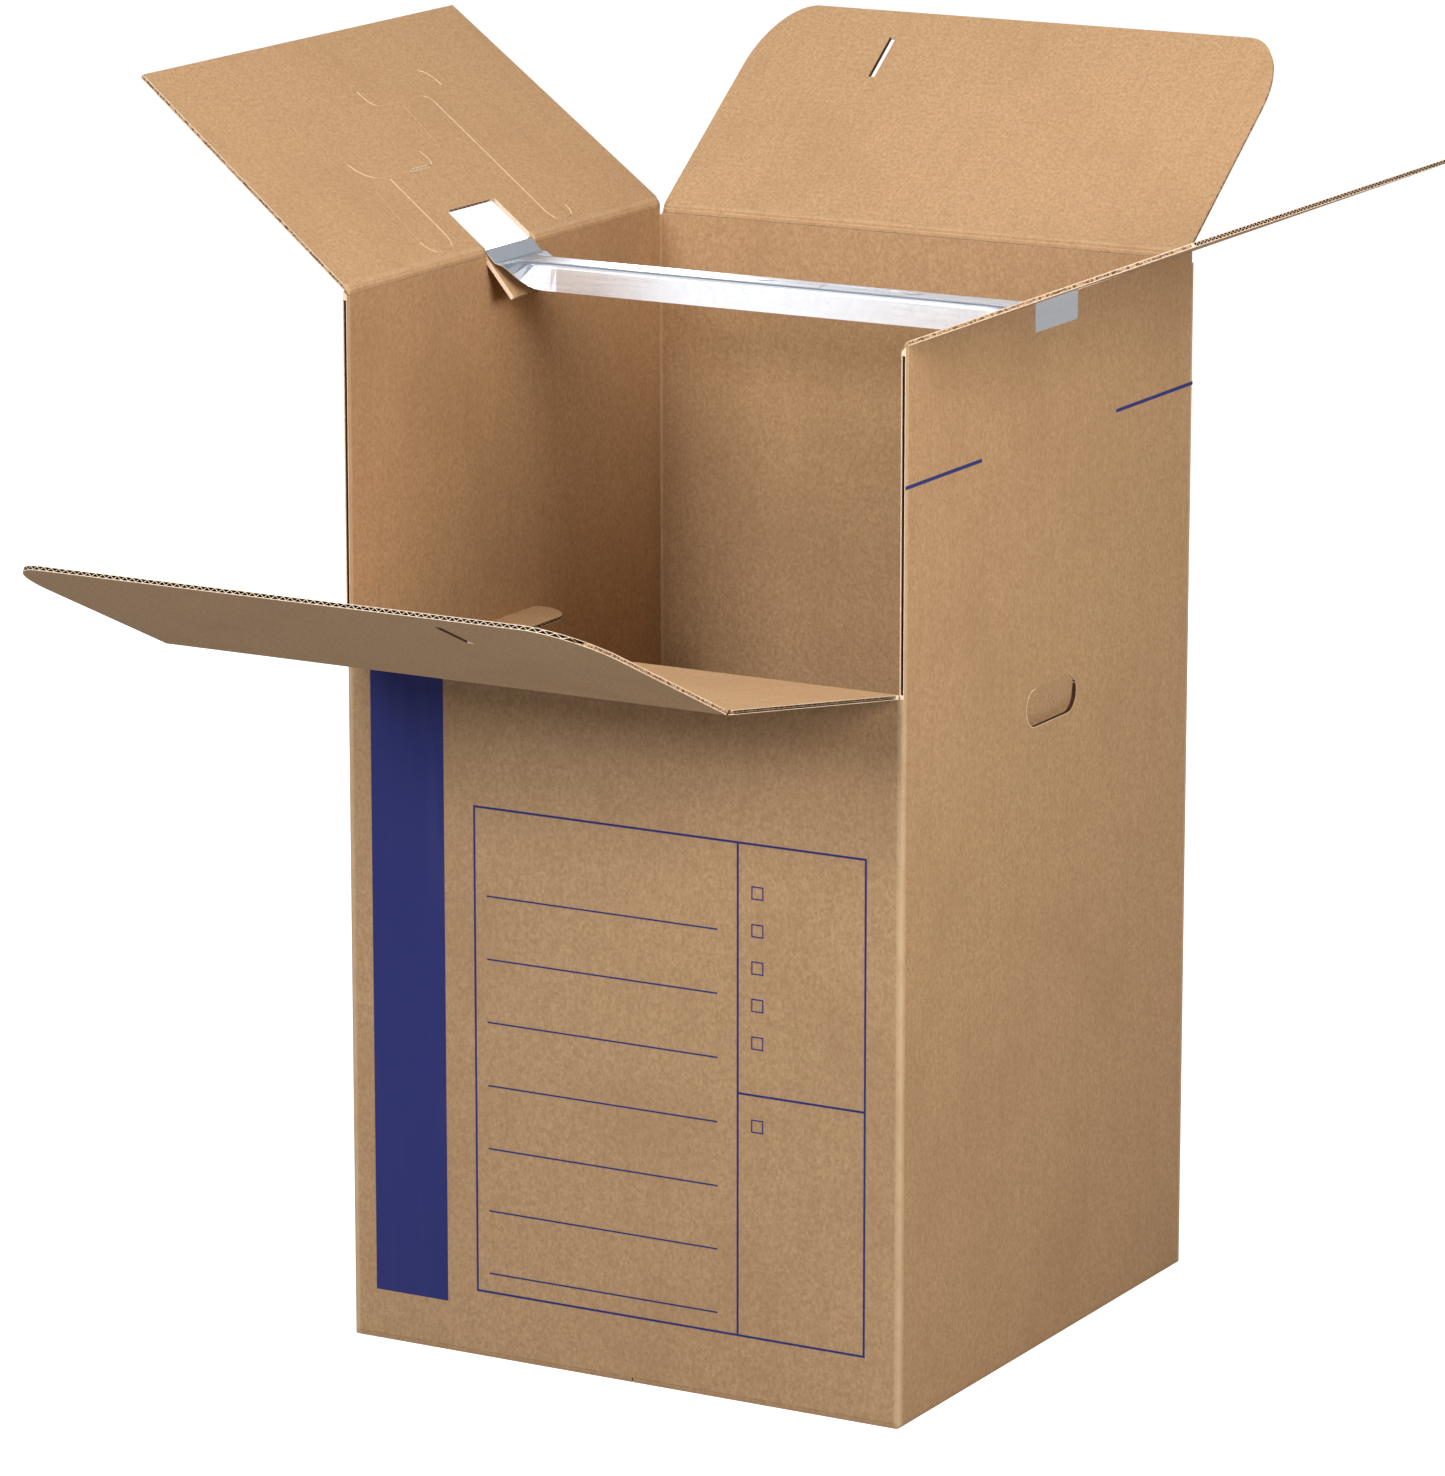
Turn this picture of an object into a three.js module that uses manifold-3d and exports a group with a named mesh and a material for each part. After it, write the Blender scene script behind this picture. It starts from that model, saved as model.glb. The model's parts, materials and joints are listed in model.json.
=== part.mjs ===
// Wardrobe moving box: a tall square carton of single-wall corrugated board.
// The upper part of its front folds down for access, four flaps close the top, and a
// pressed steel bar for clothes hangers sits across the top in openings of the side flaps.
// Millimetres, +Z up. The front faces -Y and the origin is the middle of the base.
import * as THREE from 'three';
import { mergeGeometries, mergeVertices } from 'three/addons/utils/BufferGeometryUtils.js';
import Module from 'manifold-3d';

const wasm = await Module();
wasm.setup();

// Carton, measured outside
const BOX_WIDTH = 612;
const BOX_DEPTH = 612;
const SIDE_CREASE_HEIGHT = 1048;
const ACCESS_CREASE_HEIGHT = 714;
const BOARD = 4.4;
const CORNER_RADIUS = 3.5;

// Corrugation: a zigzag medium between two liners, with flutes that run up the walls
const FLUTE_PITCH = 7.9;
const LINER = 0.6;
const MEDIUM = 0.9;
const OPEN_FLUTE_DEPTH = 14;
const OPEN_SIDE_DEPTH = 6;
const OPEN_TAB_DEPTH = 8;

// Clear spaces between pieces and between folded layers
const LAYER_GAP = 0.5;
const FOLD_GAP = 0.3;
const KNIFE_GAP = 0.8;
const PANEL_SIDE_GAP = 1;
const INNER_FLAP_SIDE_GAP = 2.6;
const FLAP_MEETING_GAP = 4;
const BAR_UNDER_FLAP_GAP = 1;
const BAR_SEAT_GAP = 0.3;

// Top flaps
const SIDE_FLAP_SLOT = 3;
const SIDE_FLAP_TAPER = 14;
const INNER_FLAP_CORNER_ALONG_EDGE = 50;
const INNER_FLAP_CORNER_ALONG_SIDE = 95;
const LOCK_SLOT_OFFSET = 146;
const LOCK_SLOT_START = 206;
const LOCK_SLOT_LENGTH = 60;
const LOCK_SLOT_WIDTH = 7;
const CORNER_NOTCH_WIDTH = 6;
const CORNER_NOTCH_DEPTH = 7;

// How far each flap stands above the horizontal, in degrees
const LEFT_FLAP_ANGLE = 38;
const RIGHT_FLAP_ANGLE = 21.8;
const BACK_FLAP_ANGLE = 36.4;
const ACCESS_PANEL_ANGLE = 9;
const FRONT_FLAP_ANGLE = 24.5;

// Bottom flaps
const BOTTOM_SEAM_OFFSET = 12;
const BOTTOM_SEAM_GAP = 1.5;

// Glue lap inside the back right corner
const GLUE_LAP_WIDTH = 38;
const GLUE_LAP_TOP_CLEARANCE = 6;

// Hand holes
const HAND_HOLE_WIDTH = 106;
const HAND_HOLE_HEIGHT = 38;
const HAND_HOLE_TOP = 671;
const LEFT_HAND_TAB_FOLD = 81;
const RIGHT_HAND_TAB_FOLD = 13;

// Hanging bar
const BAR_SHEET = 1.2;
const BAR_WIDTH = 40;
const BAR_HEIGHT = 28;
const BAR_BEND_RADIUS = 5;
const BAR_PLATE_WIDTH = 89;
const BAR_LIP_HEIGHT = 29;
const BAR_FLARE_LENGTH = 54;
const BAR_FLARE_STEPS = 9;
const BAR_BEND_STEPS = 4;
const BAR_RISE_LANDING = 2.2;
const BAR_LIP_CHAMFER = 0.9;
const BAR_RECESS_START = 53;
const BAR_RECESS_LENGTH = 82;
const BAR_RECESS_WIDTH = 18;
const BAR_RECESS_DEPTH = 0.5;

// Openings for the bar in the side flaps, and the tabs cut from them
const BAR_OPENING_DEPTH = 56;
const BAR_OPENING_SIDE_GAP = 1.5;
const BAR_TAB_FOLD = 50;

const CURVE_SEGMENTS = 8;
const PATH_DIVISIONS = 5;
const OVERSIZE = 2;
const MERGE_DISTANCE = 1e-4;

const HALF_WIDTH = BOX_WIDTH / 2;
const HALF_DEPTH = BOX_DEPTH / 2;
const INNER_CREASE_HEIGHT = SIDE_CREASE_HEIGHT - BOARD - LAYER_GAP;
const ACCESS_PANEL_LENGTH = INNER_CREASE_HEIGHT - ACCESS_CREASE_HEIGHT;
const SIDE_FLAP_REACH = HALF_WIDTH - FLAP_MEETING_GAP / 2;
const INNER_FLAP_REACH = HALF_DEPTH - FLAP_MEETING_GAP / 2;
const INSIDE_HALF_WIDTH = HALF_WIDTH - BOARD;
const ACCESS_PANEL_HALF_WIDTH = INSIDE_HALF_WIDTH - PANEL_SIDE_GAP;
const INNER_FLAP_HALF_WIDTH = INSIDE_HALF_WIDTH - INNER_FLAP_SIDE_GAP;
const SIDE_FLAP_HALF_WIDTH = HALF_DEPTH - SIDE_FLAP_SLOT;
const BAR_OPENING_WIDTH = BAR_PLATE_WIDTH + 2 * BAR_OPENING_SIDE_GAP;
const INNER_BOTTOM_LEVEL = BOARD + FOLD_GAP;
const BAR_TOP = INNER_CREASE_HEIGHT - BOARD - BAR_UNDER_FLAP_GAP;

// Quarter turns that take a piece drawn for the back wall to each wall
const BACK = 0;
const LEFT = Math.PI / 2;
const FRONT = Math.PI;
const RIGHT = -Math.PI / 2;

const X_AXIS = new THREE.Vector3(1, 0, 0);
const Y_AXIS = new THREE.Vector3(0, 1, 0);
const Z_AXIS = new THREE.Vector3(0, 0, 1);

const kraftBoard = new THREE.MeshStandardMaterial({ color: 0xb68f66, roughness: 0.9, metalness: 0 });
const zincSteel = new THREE.MeshStandardMaterial({ color: 0xc9ccd2, roughness: 0.35, metalness: 1 });

// A closed geometry as a solid that can be joined and cut
function solid(geometry) {
  geometry.deleteAttribute('normal');
  geometry.deleteAttribute('uv');
  const merged = mergeVertices(geometry, MERGE_DISTANCE);
  return new wasm.Manifold(new wasm.Mesh({
    numProp: 3,
    vertProperties: new Float32Array(merged.attributes.position.array),
    triVerts: new Uint32Array(merged.index.array),
  }));
}

function meshOf(name, body, material) {
  const { vertProperties, triVerts } = body.getMesh();
  const geometry = new THREE.BufferGeometry();
  geometry.setAttribute('position', new THREE.BufferAttribute(vertProperties, 3));
  geometry.setIndex(new THREE.BufferAttribute(triVerts, 1));
  geometry.computeVertexNormals();
  const mesh = new THREE.Mesh(geometry, material);
  mesh.name = name;
  return mesh;
}

function block(low, high) {
  const size = high.map((value, axis) => value - low[axis]);
  const geometry = new THREE.BoxGeometry(...size);
  geometry.translate(...low.map((value, axis) => value + size[axis] / 2));
  return geometry;
}

// A flat outline given thickness between two levels of the third axis
function slab(shape, low, high) {
  const depth = high - low;
  const geometry = new THREE.ExtrudeGeometry(shape, {
    depth,
    bevelEnabled: false,
    curveSegments: CURVE_SEGMENTS,
  });
  geometry.translate(0, 0, low);
  return geometry;
}

function polygon(points) {
  return new THREE.Shape(points.map(([x, y]) => new THREE.Vector2(x, y)));
}

function roundedRectangle(halfX, halfY, radius) {
  const shape = new THREE.Shape();
  shape.absarc(halfX - radius, halfY - radius, radius, 0, Math.PI / 2);
  shape.absarc(radius - halfX, halfY - radius, radius, Math.PI / 2, Math.PI);
  shape.absarc(radius - halfX, radius - halfY, radius, Math.PI, 1.5 * Math.PI);
  shape.absarc(halfX - radius, radius - halfY, radius, 1.5 * Math.PI, 2 * Math.PI);
  return shape;
}

// A section drawn as [outward, up] points, run along the back wall and turned to its own
function alongWall(section, length, turn) {
  const geometry = slab(polygon(section), -length / 2, length / 2);
  geometry.applyMatrix4(new THREE.Matrix4().makeBasis(Y_AXIS, Z_AXIS, X_AXIS));
  geometry.rotateZ(turn);
  return solid(geometry);
}

// A shape drawn as [along, up] on a wall, cut or built between two outward distances
function throughWallGeometry(shape, inner, outer, turn) {
  const geometry = slab(shape, -outer, -inner);
  geometry.applyMatrix4(new THREE.Matrix4().makeBasis(X_AXIS, Z_AXIS, Y_AXIS.clone().negate()));
  geometry.rotateZ(turn);
  return geometry;
}

function throughWall(shape, inner, outer, turn) {
  return solid(throughWallGeometry(shape, inner, outer, turn));
}

// The wedge taken off a wall's top so that board can fold inward over it
function mitreCutter(outside, height, length, turn) {
  const level = height - FOLD_GAP / 2;
  return alongWall([
    [outside + OVERSIZE, level + OVERSIZE],
    [outside - BOARD - OVERSIZE, level - BOARD - OVERSIZE],
    [outside - BOARD - OVERSIZE, level + 2 * OVERSIZE],
    [outside + OVERSIZE, level + 2 * OVERSIZE],
  ], length + 2 * OVERSIZE, turn);
}

// A wedge that takes the fold's mitre off a flap; 'towards' is 1 at the root and -1 at the far end
function flapMitreCutter(halfWidth, distance, towards) {
  const start = distance + towards * FOLD_GAP / 2;
  const wedge = alongWall([
    [start - towards * OVERSIZE, -OVERSIZE],
    [start + towards * (BOARD + OVERSIZE), BOARD + OVERSIZE],
    [start - towards * 2 * OVERSIZE, BOARD + OVERSIZE],
  ], 2 * (halfWidth + OVERSIZE), BACK);
  return wedge;
}

// A thin slit along a path in the plane of a flap, right through the board
function knifeCut(path, width) {
  const points = path.getPoints(PATH_DIVISIONS)
    .filter((point, index, all) => index === 0 || point.distanceTo(all[index - 1]) > MERGE_DISTANCE);
  const sides = points.map((point, index) => {
    const before = points[Math.max(index - 1, 0)];
    const after = points[Math.min(index + 1, points.length - 1)];
    const direction = after.clone().sub(before).normalize();
    const offset = new THREE.Vector2(-direction.y, direction.x).multiplyScalar(width / 2);
    return [point.clone().add(offset), point.clone().sub(offset)];
  });
  const outline = [...sides.map(([left]) => left), ...sides.map(([, right]) => right).reverse()];
  return solid(slab(new THREE.Shape(outline), -OVERSIZE, BOARD + OVERSIZE));
}

// Open flutes at a cut edge, as many as fit in its width. 'spanAt' gives how far from the crease
// they start and end.
function openFlutes(halfWidth, spanAt) {
  const height = BOARD - 2 * LINER;
  const half = (FLUTE_PITCH - MEDIUM) / 2;
  const rise = height * half / (FLUTE_PITCH / 2);
  const count = Math.floor((halfWidth - FLUTE_PITCH) / (FLUTE_PITCH / 2));
  const prisms = [];
  for (let index = -count; index <= count; index += 1) {
    const middle = index * FLUTE_PITCH / 2;
    const upright = Math.abs(index) % 2 === 0;
    const base = upright ? LINER : BOARD - LINER;
    const peak = upright ? base + rise : base - rise;
    const corners = [[middle - half, base], [middle + half, base], [middle, peak]];
    const section = polygon(upright ? corners : corners.reverse());
    const [start, end] = spanAt(Math.abs(middle) + FLUTE_PITCH / 2);
    prisms.push(throughWallGeometry(section, start, end, BACK));
  }
  return solid(mergeGeometries(prisms));
}

// The open side of a piece of board that was cut along its flutes
function openSide(side, halfWidth, start, end) {
  const near = side * (halfWidth - OPEN_SIDE_DEPTH);
  const far = side * (halfWidth + OVERSIZE);
  return solid(block(
    [Math.min(near, far), start, LINER],
    [Math.max(near, far), end, BOARD - LINER],
  ));
}

// Hangs a flap by its outer face from the crease of a wall, at an angle above the horizontal
function hingeAt(mesh, turn, distance, height, angle) {
  const wall = new THREE.Group();
  const hinge = new THREE.Group();
  wall.rotation.z = turn;
  hinge.position.set(0, distance, height);
  hinge.rotation.x = THREE.MathUtils.degToRad(angle);
  wall.add(hinge);
  hinge.add(mesh);
  return { wall, hinge };
}

// The hand hole's outline below its straight top, drawn as [along, up]
function handHoleShape(inset, top) {
  const radius = HAND_HOLE_HEIGHT / 2 - inset;
  const straight = (HAND_HOLE_WIDTH - HAND_HOLE_HEIGHT) / 2;
  const middle = top - HAND_HOLE_HEIGHT / 2;
  const shape = new THREE.Shape();
  shape.absarc(straight, middle, radius, -Math.PI / 2, Math.PI / 2);
  shape.absarc(-straight, middle, radius, Math.PI / 2, 1.5 * Math.PI);
  return shape;
}

// The piece of board cut from the hand hole, pushed inward about the hole's straight top
function handTab(turn, fold) {
  const straight = (HAND_HOLE_WIDTH - HAND_HOLE_HEIGHT) / 2;
  const tab = solid(slab(handHoleShape(KNIFE_GAP, 0), -BOARD / 2, BOARD / 2));
  const root = solid(block([-straight, -OVERSIZE, -BOARD / 2], [straight, BOARD / 2, BOARD / 2]));
  const radius = HAND_HOLE_HEIGHT / 2 - KNIFE_GAP;
  const flutes = openFlutes(straight + radius, (along) => {
    const past = Math.max(along - straight, 0);
    const edge = HAND_HOLE_HEIGHT / 2 + Math.sqrt(radius ** 2 - past ** 2);
    return [edge - OPEN_TAB_DEPTH, HAND_HOLE_HEIGHT + OVERSIZE];
  });
  return tab.add(root)
    .subtract(flutes.rotate([180, 0, 0]).translate([0, 0, BOARD / 2]))
    .rotate([90, 0, 0])
    .rotate([-fold, 0, 0])
    .translate([0, HALF_WIDTH - BOARD / 2, HAND_HOLE_TOP])
    .rotate([0, 0, THREE.MathUtils.radToDeg(turn)]);
}

// The piece of board cut from a side flap for the bar, folded down inside the wall
function barTab(turn) {
  const halfWidth = BAR_OPENING_WIDTH / 2 - KNIFE_GAP / 2;
  const length = BAR_OPENING_DEPTH - KNIFE_GAP / 2;
  const flutes = openFlutes(halfWidth, () => [length - OPEN_FLUTE_DEPTH, length + OVERSIZE]);
  return solid(block([-halfWidth, 0, 0], [halfWidth, length, BOARD]))
    .subtract(flutes)
    .rotate([180 + BAR_TAB_FOLD, 0, 0])
    .translate([0, HALF_WIDTH, SIDE_CREASE_HEIGHT])
    .rotate([0, 0, THREE.MathUtils.radToDeg(turn)]);
}

// A side wall and the outer bottom flap that folds from it
function sideWall(turn, seam) {
  const inside = HALF_WIDTH - BOARD;
  return alongWall([
    [HALF_WIDTH, SIDE_CREASE_HEIGHT],
    [inside, SIDE_CREASE_HEIGHT],
    [inside, BOARD],
    [seam + BOTTOM_SEAM_GAP / 2, BOARD],
    [seam + BOTTOM_SEAM_GAP / 2, 0],
    [HALF_WIDTH - CORNER_RADIUS, 0],
    [HALF_WIDTH - CORNER_RADIUS * 0.5, CORNER_RADIUS * (1 - Math.sqrt(0.75))],
    [HALF_WIDTH - CORNER_RADIUS * (1 - Math.sqrt(0.75)), CORNER_RADIUS * 0.5],
    [HALF_WIDTH, CORNER_RADIUS],
  ], BOX_DEPTH, turn);
}

// The front or back wall and the inner bottom flap that folds from it
function endWall(turn, height) {
  const inside = HALF_DEPTH - BOARD;
  const wall = solid(block(
    [-HALF_WIDTH + BOARD / 2, inside, INNER_BOTTOM_LEVEL],
    [HALF_WIDTH - BOARD / 2, HALF_DEPTH, height],
  ));
  const flap = solid(block(
    [-ACCESS_PANEL_HALF_WIDTH, FLAP_MEETING_GAP / 2, INNER_BOTTOM_LEVEL],
    [ACCESS_PANEL_HALF_WIDTH, inside + BOARD / 2, INNER_BOTTOM_LEVEL + BOARD],
  ));
  return wall.add(flap).rotate([0, 0, THREE.MathUtils.radToDeg(turn)]);
}

function cartonBody() {
  const frontTop = ACCESS_CREASE_HEIGHT - FOLD_GAP / 2;
  const envelope = solid(slab(
    roundedRectangle(HALF_WIDTH, HALF_DEPTH, CORNER_RADIUS), -OVERSIZE, SIDE_CREASE_HEIGHT,
  )).add(solid(block(
    [-HALF_WIDTH, -HALF_DEPTH, frontTop],
    [HALF_WIDTH, 0, SIDE_CREASE_HEIGHT],
  )));
  const glueLap = solid(block(
    [INSIDE_HALF_WIDTH - BOARD, HALF_DEPTH - BOARD - GLUE_LAP_WIDTH, INNER_BOTTOM_LEVEL + BOARD + LAYER_GAP],
    [INSIDE_HALF_WIDTH + BOARD / 2, HALF_DEPTH - BOARD / 2, INNER_CREASE_HEIGHT - BOARD - GLUE_LAP_TOP_CLEARANCE],
  ));
  const notch = (side) => solid(block(
    [side * HALF_WIDTH - CORNER_NOTCH_WIDTH, HALF_DEPTH - CORNER_NOTCH_WIDTH,
      INNER_CREASE_HEIGHT - CORNER_NOTCH_DEPTH],
    [side * HALF_WIDTH + CORNER_NOTCH_WIDTH, HALF_DEPTH + OVERSIZE, SIDE_CREASE_HEIGHT + OVERSIZE],
  ));
  const cutEdge = (side) => {
    const faces = [side * (HALF_WIDTH - LINER), side * (INSIDE_HALF_WIDTH + LINER)];
    return solid(block(
      [Math.min(...faces), -HALF_DEPTH - OVERSIZE, ACCESS_CREASE_HEIGHT + BOARD],
      [Math.max(...faces), -HALF_DEPTH + OPEN_SIDE_DEPTH, SIDE_CREASE_HEIGHT - 2 * BOARD],
    ));
  };
  const handHole = (turn) => throughWall(
    handHoleShape(0, HAND_HOLE_TOP), HALF_WIDTH - BOARD - OVERSIZE, HALF_WIDTH + OVERSIZE, turn,
  );
  return sideWall(LEFT, -BOTTOM_SEAM_OFFSET)
    .add(sideWall(RIGHT, BOTTOM_SEAM_OFFSET))
    .add(endWall(BACK, INNER_CREASE_HEIGHT))
    .add(endWall(FRONT, frontTop))
    .add(glueLap)
    .subtract(mitreCutter(HALF_WIDTH, SIDE_CREASE_HEIGHT, BOX_DEPTH, LEFT))
    .subtract(mitreCutter(HALF_WIDTH, SIDE_CREASE_HEIGHT, BOX_DEPTH, RIGHT))
    .subtract(mitreCutter(HALF_DEPTH, INNER_CREASE_HEIGHT, BOX_WIDTH - 2 * BOARD - 2 * OVERSIZE, BACK))
    .subtract(notch(-1))
    .subtract(notch(1))
    .subtract(handHole(LEFT))
    .subtract(handHole(RIGHT))
    .add(handTab(LEFT, LEFT_HAND_TAB_FOLD))
    .add(handTab(RIGHT, RIGHT_HAND_TAB_FOLD))
    .add(barTab(LEFT))
    .add(barTab(RIGHT))
    .subtract(cutEdge(-1))
    .subtract(cutEdge(1))
    .intersect(envelope);
}

// The die cuts of a side flap, which free its locking tabs. 'u' runs along the crease.
function lockingCuts() {
  const long = new THREE.Path();
  long.moveTo(0, 223);
  long.quadraticCurveTo(0, 201, 14, 200);
  long.lineTo(92, 200);
  long.quadraticCurveTo(104, 199, 104, 186);
  long.lineTo(104, 24);
  long.quadraticCurveTo(106, 9, 124, 9);
  long.quadraticCurveTo(147, 9, 145, 25);
  const upper = new THREE.Path();
  upper.moveTo(128, 232);
  upper.quadraticCurveTo(142, 226, 142, 208);
  const middle = new THREE.Path();
  middle.moveTo(4, 134);
  middle.quadraticCurveTo(10, 115, -2, 113.5);
  middle.lineTo(-78, 113.5);
  middle.quadraticCurveTo(-119, 112, -124, 140);
  const lower = new THREE.Path();
  lower.moveTo(-82, 110);
  lower.lineTo(-83, 34);
  lower.quadraticCurveTo(-83, 9, -105, 9);
  lower.quadraticCurveTo(-131, 8, -132, 28);
  return [long, upper, middle, lower];
}

function sideFlap(name) {
  const outline = polygon([
    [-SIDE_FLAP_HALF_WIDTH, 0],
    [SIDE_FLAP_HALF_WIDTH, 0],
    [SIDE_FLAP_HALF_WIDTH - SIDE_FLAP_TAPER, SIDE_FLAP_REACH],
    [SIDE_FLAP_TAPER - SIDE_FLAP_HALF_WIDTH, SIDE_FLAP_REACH],
  ]);
  const opening = solid(block(
    [-BAR_OPENING_WIDTH / 2, -OVERSIZE, -OVERSIZE],
    [BAR_OPENING_WIDTH / 2, BAR_OPENING_DEPTH, BOARD + OVERSIZE],
  ));
  const flap = lockingCuts().reduce(
    (board, path) => board.subtract(knifeCut(path, KNIFE_GAP)),
    solid(slab(outline, 0, BOARD)),
  );
  const edgeFlutes = openFlutes(SIDE_FLAP_HALF_WIDTH - SIDE_FLAP_TAPER, () => [
    SIDE_FLAP_REACH - OPEN_FLUTE_DEPTH, SIDE_FLAP_REACH + OVERSIZE,
  ]);
  const openingFlutes = openFlutes(BAR_OPENING_WIDTH / 2, () => [
    BAR_OPENING_DEPTH - OVERSIZE, BAR_OPENING_DEPTH + OPEN_FLUTE_DEPTH,
  ]);
  return meshOf(
    name,
    flap
      .subtract(opening)
      .subtract(edgeFlutes)
      .subtract(openingFlutes)
      .subtract(flapMitreCutter(SIDE_FLAP_HALF_WIDTH, 0, 1)),
    kraftBoard,
  );
}

// A front or back flap, with long rounded corners and one slot for a locking tab
function innerFlap(name) {
  const halfWidth = INNER_FLAP_HALF_WIDTH;
  const bend = INNER_FLAP_REACH - INNER_FLAP_CORNER_ALONG_SIDE;
  const flat = halfWidth - INNER_FLAP_CORNER_ALONG_EDGE;
  const shape = new THREE.Shape();
  shape.moveTo(-halfWidth, 0);
  shape.lineTo(halfWidth, 0);
  shape.absellipse(flat, bend, INNER_FLAP_CORNER_ALONG_EDGE, INNER_FLAP_CORNER_ALONG_SIDE, 0, Math.PI / 2);
  shape.absellipse(
    -flat, bend, INNER_FLAP_CORNER_ALONG_EDGE, INNER_FLAP_CORNER_ALONG_SIDE, Math.PI / 2, Math.PI,
  );
  const slot = solid(block(
    [-LOCK_SLOT_OFFSET - LOCK_SLOT_WIDTH / 2, LOCK_SLOT_START, -OVERSIZE],
    [-LOCK_SLOT_OFFSET + LOCK_SLOT_WIDTH / 2, LOCK_SLOT_START + LOCK_SLOT_LENGTH, BOARD + OVERSIZE],
  ));
  const edgeFlutes = openFlutes(halfWidth, (along) => {
    const past = Math.min(Math.max(along - flat, 0) / INNER_FLAP_CORNER_ALONG_EDGE, 1);
    const edge = bend + INNER_FLAP_CORNER_ALONG_SIDE * Math.sqrt(1 - past * past);
    return [edge - OPEN_FLUTE_DEPTH, INNER_FLAP_REACH + OVERSIZE];
  });
  return meshOf(
    name,
    solid(slab(shape, 0, BOARD))
      .subtract(slot)
      .subtract(edgeFlutes)
      .subtract(flapMitreCutter(halfWidth, 0, 1)),
    kraftBoard,
  );
}

function accessPanel() {
  const sideStart = OPEN_SIDE_DEPTH;
  const sideEnd = ACCESS_PANEL_LENGTH - BOARD - OPEN_SIDE_DEPTH;
  const panel = solid(block(
    [-ACCESS_PANEL_HALF_WIDTH, FOLD_GAP / 2, 0],
    [ACCESS_PANEL_HALF_WIDTH, ACCESS_PANEL_LENGTH + OVERSIZE, BOARD],
  ));
  return meshOf(
    'front_access_panel',
    panel
      .subtract(flapMitreCutter(ACCESS_PANEL_HALF_WIDTH, ACCESS_PANEL_LENGTH, -1))
      .subtract(openSide(-1, ACCESS_PANEL_HALF_WIDTH, sideStart, sideEnd))
      .subtract(openSide(1, ACCESS_PANEL_HALF_WIDTH, sideStart, sideEnd)),
    kraftBoard,
  );
}

// One half of the bar's upper surface as it runs from the middle to the end of its lip:
// where it is, and how far its sides are folded down
function barPath() {
  const crestTop = SIDE_CREASE_HEIGHT + BAR_SEAT_GAP + BAR_SHEET;
  const lipOutside = HALF_WIDTH + BAR_SEAT_GAP + BAR_SHEET;
  const riseEnd = HALF_WIDTH - BAR_RISE_LANDING;
  const riseStart = riseEnd - (crestTop - BAR_TOP);
  const flareEnd = riseStart - BAR_SHEET;
  const flare = Array.from({ length: BAR_FLARE_STEPS + 1 }, (_, step) => {
    const part = step / BAR_FLARE_STEPS;
    return { x: flareEnd - BAR_FLARE_LENGTH * (1 - part), z: BAR_TOP, folded: 1 - part * part * (3 - 2 * part) };
  });
  return [
    ...flare,
    { x: riseStart, z: BAR_TOP, folded: 0 },
    { x: riseEnd, z: crestTop, folded: 0 },
    { x: lipOutside - BAR_LIP_CHAMFER, z: crestTop, folded: 0 },
    { x: lipOutside, z: crestTop - BAR_LIP_CHAMFER, folded: 0 },
    { x: lipOutside, z: crestTop - BAR_LIP_HEIGHT, folded: 0 },
  ];
}

// Half of the bar's section, from its middle to the skirt's edge, as [across, up] with the
// way the surface faces. The bend keeps its length while it opens out.
function barHalfSection(folded) {
  const flat = BAR_WIDTH / 2 - BAR_BEND_RADIUS;
  const bendLength = BAR_BEND_RADIUS * Math.PI / 2;
  const deepSkirt = BAR_HEIGHT - BAR_BEND_RADIUS;
  const flatSkirt = BAR_PLATE_WIDTH / 2 - flat - bendLength;
  const skirt = THREE.MathUtils.lerp(flatSkirt, deepSkirt, folded);
  const turn = folded * Math.PI / 2;
  const bend = Array.from({ length: BAR_BEND_STEPS + 1 }, (_, step) => {
    const part = step / BAR_BEND_STEPS;
    const angle = turn * part;
    const reach = turn > 0 ? bendLength / turn * Math.sin(angle) : bendLength * part;
    const drop = turn > 0 ? bendLength / turn * (1 - Math.cos(angle)) : 0;
    return { across: flat + reach, up: -drop, angle };
  });
  const last = bend[bend.length - 1];
  const edge = {
    across: last.across + skirt * Math.cos(turn),
    up: last.up - skirt * Math.sin(turn),
    angle: turn,
  };
  return [...bend, edge];
}

// The closed loop of the bar's section: its outer face, then its inner face coming back
function barSection(folded) {
  const half = barHalfSection(folded);
  const outer = [
    ...half.slice().reverse().map(({ across, up, angle }) => ({ across: -across, up, angle: -angle })),
    ...half,
  ];
  const inner = outer.map(({ across, up, angle }) => ({
    across: across - BAR_SHEET * Math.sin(angle),
    up: up - BAR_SHEET * Math.cos(angle),
  }));
  return { outer, inner };
}

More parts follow.
